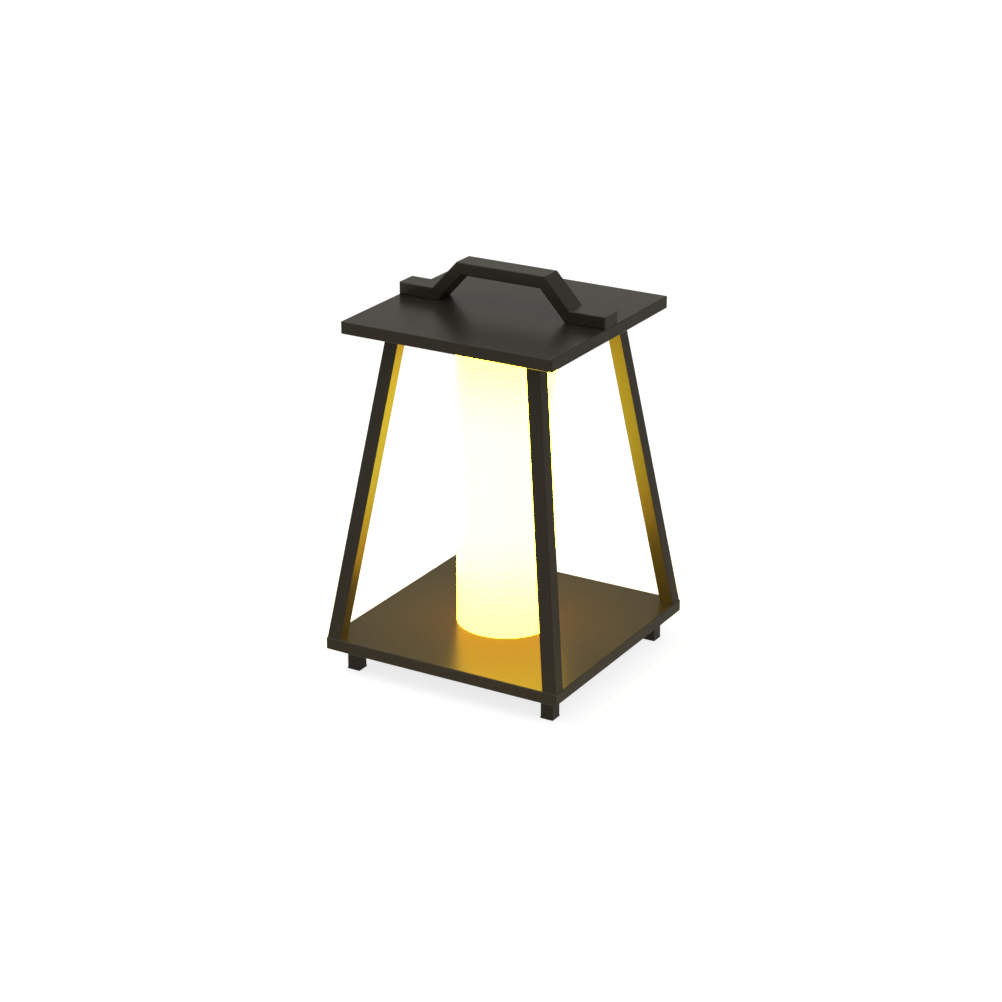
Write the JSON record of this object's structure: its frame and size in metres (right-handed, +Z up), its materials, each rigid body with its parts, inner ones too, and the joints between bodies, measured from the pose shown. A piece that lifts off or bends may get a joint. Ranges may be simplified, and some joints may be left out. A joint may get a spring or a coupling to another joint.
{
  "type": "lantern table lamp",
  "caption": "Portable lantern table lamp with an opal light tube between square hollow plates, leaning square-tube legs at the corners, a bent bar handle on top and block feet below.",
  "frame": {"origin": "the middle of the footprint, at the level of the foot pads' undersides", "axes": "+Z up, +X to the right along the handle, -Y to the front; the button and socket face +Y"},
  "size_m": [0.21, 0.21, 0.327],
  "materials": {
    "bronze_paint": "satin powder coat",
    "zinc_plated_steel": "satin",
    "black_oxide_steel": "satin",
    "rubber": "matt",
    "opal_acrylic": "satin, lit from inside",
    "clear_silicone": "satin",
    "white_plastic": "moulded",
    "mill_aluminium": "mill",
    "white_circuit_board": "solder mask",
    "led_phosphor": "gloss",
    "pouch_cell": "foil",
    "foam_tape": "matt",
    "green_circuit_board": "solder mask",
    "component_epoxy": "matt",
    "nylon_connector": "moulded",
    "socket_shell": "satin",
    "silicone_flap": "matt",
    "button_plastic": "moulded",
    "acetal": "moulded",
    "lead_insulation": "extruded"
  },
  "bodies": {
    "lamp": {"base_cover": "bronze_paint", "base_shell": "bronze_paint", "battery_connector": "nylon_connector", "battery_lead": "lead_insulation", "battery_pack": "pouch_cell", "battery_tape": "foam_tape", "board_components": "component_epoxy", "board_screws": "zinc_plated_steel", "charging_socket": "socket_shell", "control_board": "green_circuit_board", "diffuser_tube": "opal_acrylic", "foot_back_left": "bronze_paint", "foot_back_right": "bronze_paint", "foot_front_left": "bronze_paint", "foot_front_right": "bronze_paint", "foot_pads": "rubber", "foot_screws": "zinc_plated_steel", "handle": "bronze_paint", "handle_screws": "zinc_plated_steel", "lead_grommet": "rubber", "led_board_back": "white_circuit_board", "led_board_front": "white_circuit_board", "led_board_left": "white_circuit_board", "led_board_right": "white_circuit_board", "led_connector": "nylon_connector", "led_lead": "lead_insulation", "led_link_board": "white_circuit_board", "leds_back": "led_phosphor", "leds_front": "led_phosphor", "leds_left": "led_phosphor", "leds_right": "led_phosphor", "leg_back_left": "bronze_paint", "leg_back_right": "bronze_paint", "leg_front_left": "bronze_paint", "leg_front_right": "bronze_paint", "leg_plugs_bottom": "zinc_plated_steel", "leg_plugs_top": "zinc_plated_steel", "leg_screws_bottom": "zinc_plated_steel", "leg_screws_top": "zinc_plated_steel", "light_post": "mill_aluminium", "port_flap_anchor": "silicone_flap", "post_screw_bottom": "zinc_plated_steel", "post_screw_top": "zinc_plated_steel", "power_switch": "component_epoxy", "top_panel": "bronze_paint", "top_panel_screws": "black_oxide_steel", "top_shell": "bronze_paint", "tube_gaskets": "clear_silicone", "tube_seat_bottom": "white_plastic", "tube_seat_top": "white_plastic"},
    "button": {"power_button": "button_plastic", "switch_plunger": "acetal"},
    "flap": {"port_flap": "silicone_flap"}
  },
  "joints": [
    {"name": "power_button_press", "type": "slide", "parent": "lamp", "child": "button", "axis": [0, -1, 0], "range_m": [0, 0.0005], "stiffness_N_per_m": 1500, "springref_m": -0.0005},
    {"name": "port_flap_swing", "type": "hinge", "parent": "lamp", "child": "flap", "pos_m": [0.0055, 0.105, 0.0247], "axis": [0, 0, 1], "range_deg": [0, 120], "stiffness_Nm_per_rad": 0.0004}
  ]
}
